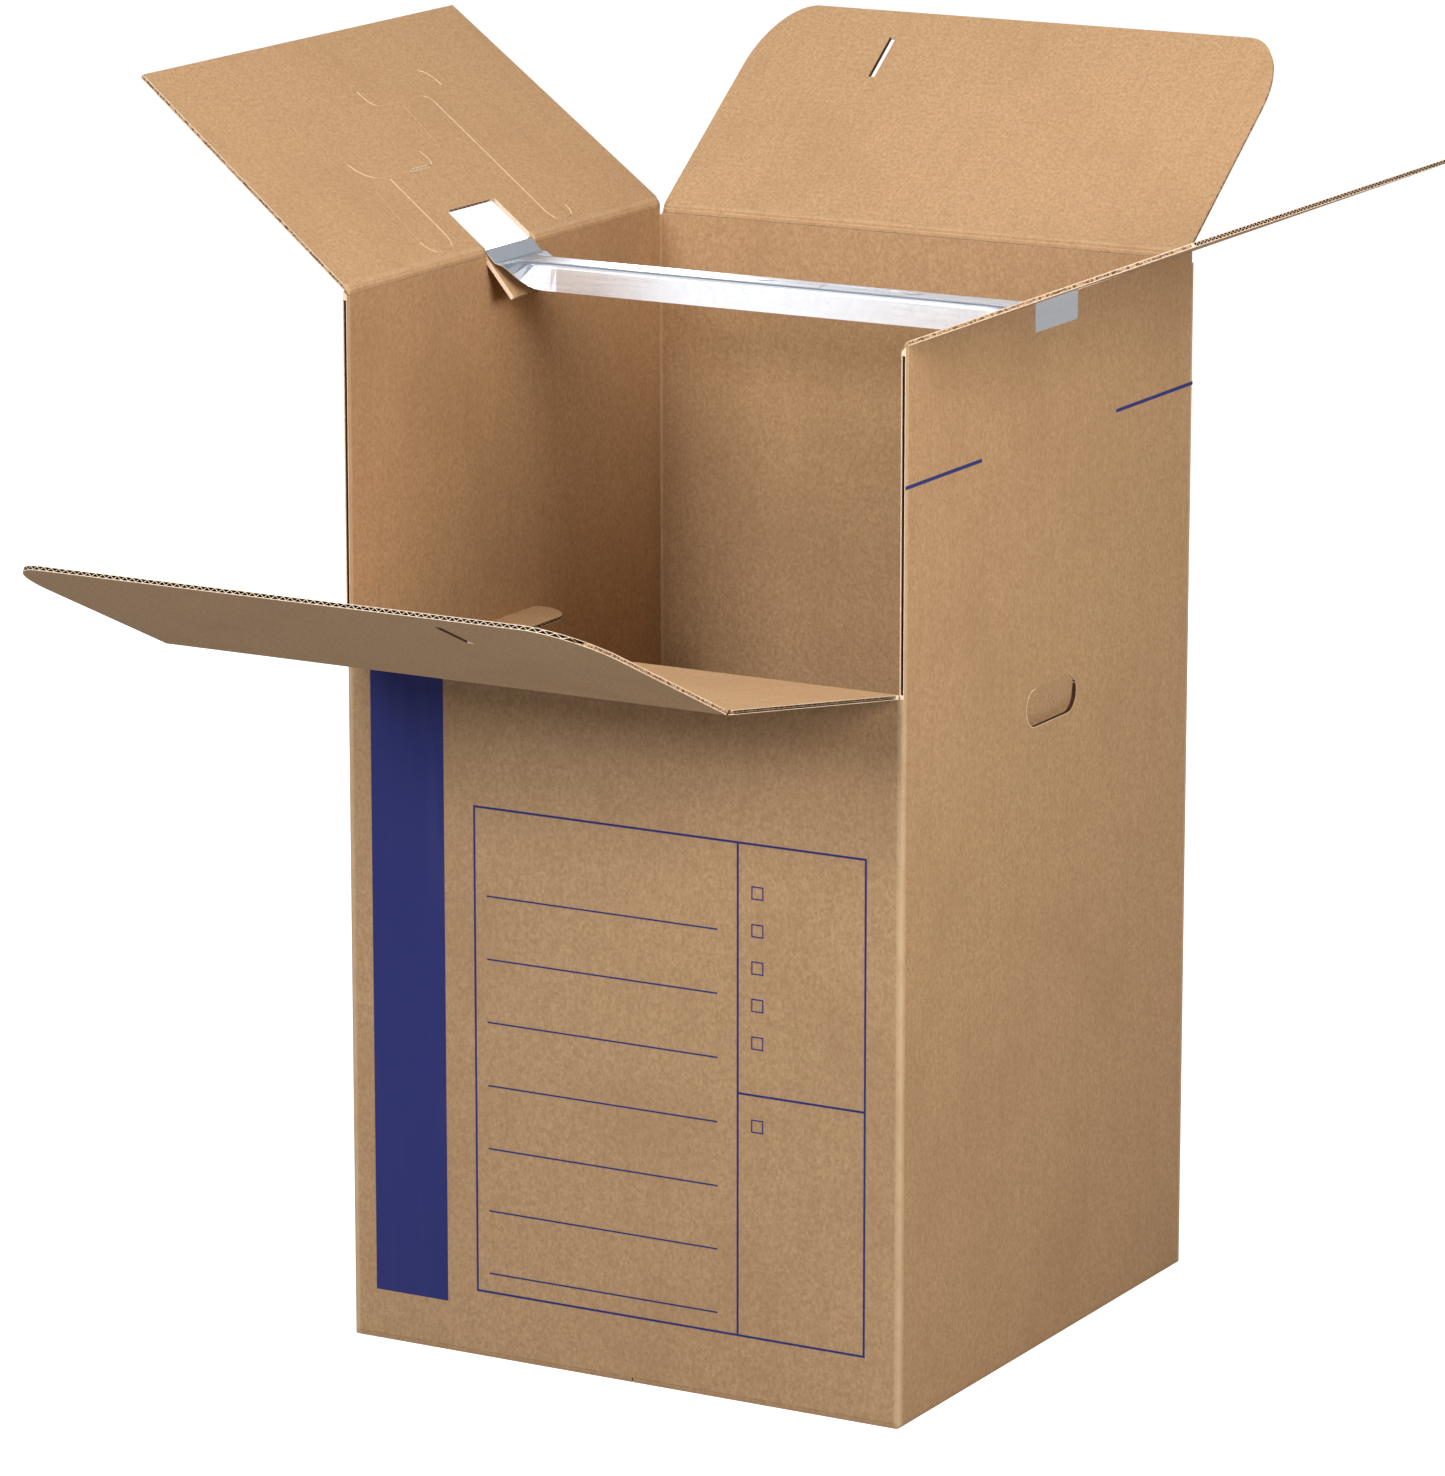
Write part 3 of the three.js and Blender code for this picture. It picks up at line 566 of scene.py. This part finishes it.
def fold_profile(node):
    """The section of a fold as [outward, up] points about the hinge, from parent to child."""
    base = rest_angle("front_access_panel") - 90 if node == "front_top_flap" else 0
    relative = rest_angle(node) - base
    corner = 90 if node == "front_access_panel" else 45
    start, end = 180 + (90 - corner), relative + corner
    points = []
    for step in range(FOLD_STEPS + 1):
        part = step / FOLD_STEPS
        angle = start + (end - start) * part
        past_wall = max(0.0, angle - 180)
        past_flap = max(0.0, relative + 90 - angle)
        reach = max(BOARD / math.cos(math.radians(past_wall)), BOARD / math.cos(math.radians(past_flap)))
        dent = math.exp(-(((part - 0.5) / CRUSH_SPREAD) ** 2)) * FOLD_CRUSH
        turned = math.radians(angle + base)
        outward = reach * (1 - dent) * math.cos(turned)
        up = reach * (1 - dent) * math.sin(turned)
        if node == "back_top_flap" and up > 0:
            outward = max(outward, -CLEAR_OF_SIDE_FLAPS)
        points.append((outward, up))
    return points


def build_fold(node):
    """The bent liner that joins two pieces of board across their crease."""
    fold, parent, child, turn = TOP_FOLDS[node]
    hinge = Vector(joints[fold]["pos_m"])
    place = Matrix.Translation(hinge) @ Matrix.Rotation(math.radians(turn), 4, "Z")
    profile = fold_profile(node)
    for index, (low, high) in enumerate(CREASE_SPANS[node]):
        cells = max(2, round((high - low) / FOLD_CELL))
        points, faces = [], []
        ring = len(profile) + 1
        for cell in range(cells + 1):
            along = low + (high - low) * cell / cells
            for outward, up in [(0.0, 0.0), *profile]:
                points.append(place @ Vector((along, outward, up)))
        for cell in range(cells):
            for point in range(ring):
                after = (point + 1) % ring
                here, there = cell * ring, (cell + 1) * ring
                faces.append((here + point, here + after, there + after, there + point))
        faces.append(tuple(range(ring))[::-1])
        faces.append(tuple(cells * ring + point for point in range(ring)))
        mesh = mesh_from(f"crease_{node}_{index}", points, faces, smooth=True)
        turn_faces_outward(mesh)
        piece = new_piece(mesh.name, mesh, crease_material(node))
        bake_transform(piece)


def prism_piece(name, sections, material, node):
    """Thin prisms on one piece of board: each is a pair of end sections in its flat place."""
    place = board_matrix(node)
    points, faces = [], []
    for first, second in sections:
        base, count = len(points), len(first)
        points += [place @ Vector(point) for point in (*first, *second)]
        faces.append(tuple(base + corner for corner in range(count))[::-1])
        faces.append(tuple(base + count + corner for corner in range(count)))
        for corner in range(count):
            after = (corner + 1) % count
            faces.append((base + corner, base + after, base + count + after, base + count + corner))
    mesh = mesh_from(name, points, faces)
    turn_faces_outward(mesh)
    piece = new_piece(name, mesh, material)
    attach(piece, TOP_FOLDS[node][2] if node in TOP_FOLDS else "carton")


# A rim along a cut: it starts this far below the liner and beyond the cut's edge, and its back
# still stands a little above the liner
RIM_ROOT = 0.0003
RIM_BEYOND = 0.0001
RIM_BACK = 0.00003
RIM_WIDTH = 0.0006
RIM_HEIGHT = 0.00025
# Only cuts that face along the crease at least this much get a rim: the ones that catch the light, where
# the rim is partly painted highlight.
RIM_FACING = 0.45

# Where a flap's knife cuts are: half the width along the crease, the nearest and the farthest
# place from it, and the bar opening's half width and far edge
RIM_ZONE = (0.29, 0.004, 0.27)
BAR_OPENING_ZONE = (0.047, 0.0575)
ON_FACE = 0.00001

# The scored lines that the locking tab folds on, and their section
SCORE_SECTION = (
    (-0.0008, -RIM_ROOT), (-0.0008, 0.00002), (0, 0.00035), (0.0008, 0.00002), (0.0008, -RIM_ROOT),
)
SCORES = (
    ((0.0508, 0.195), (0.0423, 0.133)),
    ((-0.1216, 0.1006), (-0.132, 0.033)),
)

# The wide cut that shows the board's flutes: its ends along the crease, its distance from the
# crease, and the sizes of its pale edge, partly painted highlight, and of its flutes' painted shade
SLOT_SPAN = (-0.0385, -0.0035)
SLOT_LINE = 0.1138
SLOT_HALF_WIDTH, SLOT_HEIGHT = 0.0019, 0.00006
DOT_HALF_WIDTH, DOT_HALF_BASE, DOT_HALF_TIP, DOT_HEIGHT = 0.0014, 0.0013, 0.0004, 0.00014


def knife_edges(node):
    """The upper edges of the knife cuts inside a flap, as end points and the way into the cut."""
    mesh = nodes[node].data
    inverse = board_matrix(node).inverted()
    turn = inverse.to_3x3()
    edges = []
    for polygon in mesh.polygons:
        inward = turn @ polygon.normal
        if abs(inward.z) > SQUARE:
            continue
        corners = [inverse @ mesh.vertices[index].co for index in polygon.vertices]
        rim = [corner for corner in corners if corner.z > BOARD - ON_FACE]
        middle = sum(corners, Vector()) / len(corners)
        half, low, high = RIM_ZONE
        in_zone = abs(middle.x) < half and low < middle.y < high
        in_opening = abs(middle.x) < BAR_OPENING_ZONE[0] and middle.y < BAR_OPENING_ZONE[1]
        if len(rim) == 2 and in_zone and not in_opening:
            edges.append((rim[0], rim[1], inward))
    return edges


def rim_section(point, inward):
    """The section of a rim at a point of a knife cut's edge."""
    front_x, front_y = point.x + inward.x * RIM_BEYOND, point.y + inward.y * RIM_BEYOND
    back_x, back_y = point.x - inward.x * RIM_WIDTH, point.y - inward.y * RIM_WIDTH
    return [
        (front_x, front_y, BOARD - RIM_ROOT),
        (front_x, front_y, BOARD + RIM_HEIGHT),
        (back_x, back_y, BOARD + RIM_BACK),
        (back_x, back_y, BOARD - RIM_ROOT),
    ]


def slot_edge_section(along):
    """The section of the wide cut's pale edge at a place along the crease."""
    corners = (
        (-SLOT_HALF_WIDTH, -RIM_ROOT),
        (-SLOT_HALF_WIDTH, SLOT_HEIGHT),
        (SLOT_HALF_WIDTH, SLOT_HEIGHT),
        (SLOT_HALF_WIDTH, -RIM_ROOT),
    )
    return [(along, SLOT_LINE + across, BOARD + height) for across, height in corners]


def flute_shade_dot(middle, upright, height):
    """The outline of one flute's painted shade in the wide cut, wide at its base and narrow at its tip."""
    base, tip = SLOT_LINE - DOT_HALF_WIDTH * upright, SLOT_LINE + DOT_HALF_WIDTH * upright
    return [
        (middle - DOT_HALF_BASE, base, BOARD + height),
        (middle + DOT_HALF_BASE, base, BOARD + height),
        (middle + DOT_HALF_TIP, tip, BOARD + height),
        (middle - DOT_HALF_TIP, tip, BOARD + height),
    ]


def build_score_lines(node):
    """The raised lines of the scored folds of the locking tab."""
    scores = []
    for first, second in SCORES:
        along = (Vector(second) - Vector(first)).normalized()
        scores.append([
            [
                (point[0] - along.y * side, point[1] + along.x * side, BOARD + height)
                for side, height in SCORE_SECTION
            ]
            for point in (first, second)
        ])
    prism_piece("score_lines_" + node, scores, crease_material(node), node)


def build_cut_rims(node):
    """The pale rims that a knife leaves, partly painted highlight, and the open flutes at the wide cut
    painted dark as their shade.
    """
    # Rims of pale fibres with painted highlight, only along the cuts that catch the light.
    rims = [
        [rim_section(start, inward), rim_section(end, inward)]
        for start, end, inward in knife_edges(node) if abs(inward.x) >= RIM_FACING
    ]
    low, high = SLOT_SPAN
    rims.append([slot_edge_section(low), slot_edge_section(high)])
    prism_piece("cut_rims_" + node, rims, RIM_AND_HIGHLIGHT, node)
    dots = []
    for index in range(round((high - low) / (FLUTE_PITCH / 2))):
        middle = low + (index + 0.5) * FLUTE_PITCH / 2
        upright = 1 if index % 2 else -1
        dots.append([flute_shade_dot(middle, upright, height) for height in (-RIM_ROOT, DOT_HEIGHT)])
    prism_piece("slot_flute_shade_" + node, dots, FLUTE_SHADE, node)


HAND_RIM_WIDTH = 0.0009


def build_hand_hole_rims():
    """The pale torn rim of the outer liner around each hand hole, partly painted highlight."""
    mesh = nodes["carton_body"].data
    half, low, high = HAND_TAB_BOX
    sections = []
    for polygon in mesh.polygons:
        normal, centre = polygon.normal, polygon.center
        in_zone = abs(centre.y) < half and low < centre.z < high
        if not in_zone or abs(normal.x) > SQUARE or normal.z < -FACES:
            continue
        corners = [mesh.vertices[index].co for index in polygon.vertices]
        rim = [corner for corner in corners if abs(corner.x) > HALF_WIDTH - ON_FACE]
        if len(rim) != 2:
            continue
        side = math.copysign(1, centre.x)
        back = normal * -HAND_RIM_WIDTH
        sections.append([
            [
                corner - Vector((side * RIM_ROOT, 0, 0)),
                corner + Vector((side * RIM_HEIGHT, 0, 0)),
                corner + back + Vector((side * RIM_BACK, 0, 0)),
                corner + back - Vector((side * RIM_ROOT, 0, 0)),
            ]
            for corner in rim
        ])
    prism_piece("hand_hole_rims", sections, RIM_AND_HIGHLIGHT, "carton_body")


# How far from its middle the bar is straight, and the angle in degrees above which an edge is sharp
BAR_STRAIGHT = 0.2
SHARP_ANGLE = 38


def boss_mesh(top):
    """Half ellipsoids, closed below, that stand on the bar's top."""
    points, faces = [], []
    for along in BOSS_PLACES:
        base = len(points)
        for ring in range(BOSS_RINGS):
            part = ring / BOSS_RINGS
            reach = math.cos(part * math.pi / 2)
            height = math.sin(part * math.pi / 2) * BOSS_HEIGHT
            for corner in range(BOSS_SIDES):
                angle = 2 * math.pi * corner / BOSS_SIDES
                points.append((
                    along + BOSS_HALF_LENGTH * reach * math.cos(angle),
                    BOSS_HALF_WIDTH * reach * math.sin(angle),
                    top - BOSS_SINK + height,
                ))
        points.append((along, 0, top - BOSS_SINK + BOSS_HEIGHT))
        for ring in range(BOSS_RINGS - 1):
            for corner in range(BOSS_SIDES):
                after = (corner + 1) % BOSS_SIDES
                here, above = base + ring * BOSS_SIDES, base + (ring + 1) * BOSS_SIDES
                faces.append((here + corner, here + after, above + after, above + corner))
        last = base + (BOSS_RINGS - 1) * BOSS_SIDES
        peak = base + BOSS_RINGS * BOSS_SIDES
        faces += [(last + corner, last + (corner + 1) % BOSS_SIDES, peak) for corner in range(BOSS_SIDES)]
        faces.append(tuple(base + corner for corner in range(BOSS_SIDES))[::-1])
    return mesh_from("bar_bosses", points, faces, smooth=True)


def dress_bar():
    """The steel of the hanging bar and the small pressed bosses along its top."""
    bar = nodes["hang_bar"]
    bar.data.materials.clear()
    bar.data.materials.append(STEEL)
    for polygon in bar.data.polygons:
        polygon.use_smooth = True
    bar.data.set_sharp_from_angle(angle=math.radians(SHARP_ANGLE))
    top = max(vertex.co.z for vertex in bar.data.vertices if abs(vertex.co.x) < BAR_STRAIGHT)
    bosses = new_piece("bar_bosses", boss_mesh(top), STEEL)
    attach(bosses, "carton")


# How far ink stands above the board, and how far it goes into it
INK_THICKNESS = 0.00012
INK_ROOT = 0.00004


def print_blocks(name, rectangles, wall):
    """Flat fields of ink on a wall, as (left, bottom, right, top) in metres along and up it."""
    points, faces = [], []
    for left, bottom, right, top in rectangles:
        base = len(points)
        for depth in (-INK_ROOT, INK_THICKNESS):
            for along, up in ((left, bottom), (right, bottom), (right, top), (left, top)):
                if wall == "front":
                    points.append((along, -HALF_DEPTH - depth, up))
                else:
                    points.append((HALF_WIDTH + depth, along, up))
        faces.append(tuple(base + 4 + corner for corner in range(4)))
        faces.append(tuple(base + corner for corner in (3, 2, 1, 0)))
        for corner in range(4):
            after = (corner + 1) % 4
            faces.append((base + corner, base + after, base + 4 + after, base + 4 + corner))
    piece = new_piece(name, mesh_from(name, points, faces), INK)
    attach(piece, "carton")


def outline_bars(left, bottom, right, top, width):
    """The four bars of a rectangular frame, drawn inside its outer edges."""
    return [
        (left, bottom, right, bottom + width),
        (left, top - width, right, top),
        (left, bottom + width, left + width, top - width),
        (right - width, bottom + width, right, top - width),
    ]


# The print, in metres along the wall from its middle and up from the floor
BAND = (-0.2797, 0.0502, -0.1971, 0.709)
FORM_LEFT, FORM_BOTTOM, FORM_RIGHT, FORM_TOP = -0.164, 0.0655, 0.268, 0.557
FORM_DIVIDER = 0.128
FORM_CROSS = 0.3078
FORM_LINE = 0.0022
WRITING_LEFT, WRITING_RIGHT, WRITING_WIDTH = -0.1493, 0.1067, 0.0016
WRITING_LINES = (0.467, 0.4038, 0.3403, 0.2763, 0.2124, 0.149, 0.0851)
CHECK_BOX_TOPS = (0.515, 0.478, 0.4414, 0.4045, 0.3673, 0.2848)
CHECK_BOX_LEFT, CHECK_BOX_SIZE, CHECK_BOX_LINE = 0.1438, 0.0132, 0.0013
STRIPE_BOTTOM, STRIPE_TOP = 0.9132, 0.9168
STRIPES = ((-0.305, -0.151), (0.134, 0.305))


def build_print():
    """The blue band and the form on the front, and the stripe on the right side."""
    print_blocks("front_print_band", [BAND], "front")
    form = outline_bars(FORM_LEFT, FORM_BOTTOM, FORM_RIGHT, FORM_TOP, FORM_LINE)
    form.append((FORM_DIVIDER, FORM_BOTTOM + FORM_LINE, FORM_DIVIDER + FORM_LINE, FORM_TOP - FORM_LINE))
    form.append((FORM_DIVIDER + FORM_LINE, FORM_CROSS, FORM_RIGHT - FORM_LINE, FORM_CROSS + FORM_LINE))
    form += [(WRITING_LEFT, low, WRITING_RIGHT, low + WRITING_WIDTH) for low in WRITING_LINES]
    right = CHECK_BOX_LEFT + CHECK_BOX_SIZE
    for top in CHECK_BOX_TOPS:
        form += outline_bars(CHECK_BOX_LEFT, top - CHECK_BOX_SIZE, right, top, CHECK_BOX_LINE)
    print_blocks("front_print_form", form, "front")
    stripe = [(front, STRIPE_BOTTOM, back, STRIPE_TOP) for front, back in STRIPES]
    print_blocks("right_print_stripe", stripe, "right")


WORLD_STRENGTH = 0.12
WORLD_COLOUR = (0.94, 1.0, 1.1, 1)
FLOOR_COLOUR = (0.36, 0.39, 0.43, 1)
FLOOR_GLOW = 1.0
LIGHT_TARGET = Vector((0, 0, 0.75))

# Each light's name, power in watts, place, size and colour
SOFTBOXES = (
    ("key", 103, (-0.7, -4.1, 2.35), 1.0, (0.95, 1.0, 1.07)),
    ("side", 50, (2.3, -1.0, 1.8), 1.2, (1.04, 1.0, 0.98)),
    ("top", 48, (0.0, -1.0, 3.6), 1.4, (0.98, 1.0, 1.03)),
    ("back", 58, (-1.7, 3.3, 1.7), 1.4, (0.96, 1.0, 1.06)),
)
FLOOR_HALF = 30


def build_floor():
    """A floor that the camera and the steel see as white, but that throws little light back."""
    corners = [
        (x * FLOOR_HALF, y * FLOOR_HALF, 0) for x, y in ((-1, -1), (1, -1), (1, 1), (-1, 1))
    ]
    floor_mesh = mesh_from("floor", corners, [(0, 1, 2, 3)])
    shader = Shader("floor")
    shader.surface.inputs["Base Color"].default_value = FLOOR_COLOUR
    shader.surface.inputs["Roughness"].default_value = 0.9
    shader.surface.inputs["Specular IOR Level"].default_value = 0.1
    shader.surface.inputs["Emission Color"].default_value = (1, 1, 1, 1)
    rays = shader.add("ShaderNodeLightPath").outputs
    seen_floor = shader.math("MAXIMUM", rays["Is Camera Ray"], rays["Is Glossy Ray"])
    glow = shader.math("MULTIPLY", seen_floor, FLOOR_GLOW)
    shader.feed(shader.surface.inputs["Emission Strength"], glow)
    new_piece("floor", floor_mesh, shader.material)


def build_world():
    """Weak even light all round, in front of a background that is seen as white."""
    world = bpy.data.worlds.new("studio")
    bpy.context.scene.world = world
    world.use_nodes = True
    tree = world.node_tree
    background = tree.nodes["Background"]
    background.inputs["Color"].default_value = WORLD_COLOUR
    background.inputs["Strength"].default_value = WORLD_STRENGTH
    shown = tree.nodes.new("ShaderNodeBackground")
    shown.inputs["Color"].default_value = (1, 1, 1, 1)
    shown.inputs["Strength"].default_value = 1.0
    rays = tree.nodes.new("ShaderNodeLightPath")
    choose = tree.nodes.new("ShaderNodeMixShader")
    seen = tree.nodes.new("ShaderNodeMath")
    seen.operation = "MAXIMUM"
    tree.links.new(rays.outputs["Is Camera Ray"], seen.inputs[0])
    tree.links.new(rays.outputs["Is Glossy Ray"], seen.inputs[1])
    tree.links.new(seen.outputs[0], choose.inputs[0])
    tree.links.new(background.outputs[0], choose.inputs[1])
    tree.links.new(shown.outputs[0], choose.inputs[2])
    tree.links.new(choose.outputs[0], tree.nodes["World Output"].inputs["Surface"])


def add_softbox(name, watts, place, size, colour):
    """A square light that faces the upper part of the box."""
    light = bpy.data.lights.new(name, "AREA")
    light.energy = watts
    light.color = colour
    light.size = size
    lamp = bpy.data.objects.new(name, light)
    lamp.location = place
    lamp.visible_camera = False
    lamp.rotation_mode = "QUATERNION"
    lamp.rotation_quaternion = (LIGHT_TARGET - Vector(place)).to_track_quat("-Z", "Y")
    bpy.context.scene.collection.objects.link(lamp)


CAMERA_AZIMUTH = 29.3
CAMERA_ELEVATION = 13.35
CAMERA_DISTANCE = 7.332
CAMERA_REACH = 200
CAMERA_TARGET = Vector((-0.0593, 0, 0.5723))
FOCAL_PIXELS = 7372
PHOTO_HEIGHT = 1476
SENSOR = 36


def build_camera():
    """The camera that the photograph was solved for: a long lens, a little above the box."""
    azimuth, elevation = math.radians(CAMERA_AZIMUTH), math.radians(CAMERA_ELEVATION)
    back = Vector((
        math.sin(azimuth) * math.cos(elevation),
        -math.cos(azimuth) * math.cos(elevation),
        math.sin(elevation),
    ))
    data = bpy.data.cameras.new("camera")
    data.sensor_width = SENSOR
    data.lens = FOCAL_PIXELS * SENSOR / PHOTO_HEIGHT
    data.clip_end = CAMERA_REACH
    camera = bpy.data.objects.new("camera", data)
    camera.location = CAMERA_TARGET + back * CAMERA_DISTANCE
    camera.rotation_mode = "QUATERNION"
    camera.rotation_quaternion = (-back).to_track_quat("-Z", "Y")
    bpy.context.scene.collection.objects.link(camera)
    bpy.context.scene.camera = camera


build_camera()
build_floor()
build_world()
for softbox in SOFTBOXES:
    add_softbox(*softbox)
for board_node in ("carton_body", *TOP_FOLDS):
    dress_board(board_node)
for fold_node in TOP_FOLDS:
    build_fold(fold_node)
for flap_node in ("left_top_flap", "right_top_flap"):
    build_score_lines(flap_node)
    build_cut_rims(flap_node)
build_hand_hole_rims()
build_print()
dress_bar()

bpy.context.scene.view_settings.view_transform = "Standard"
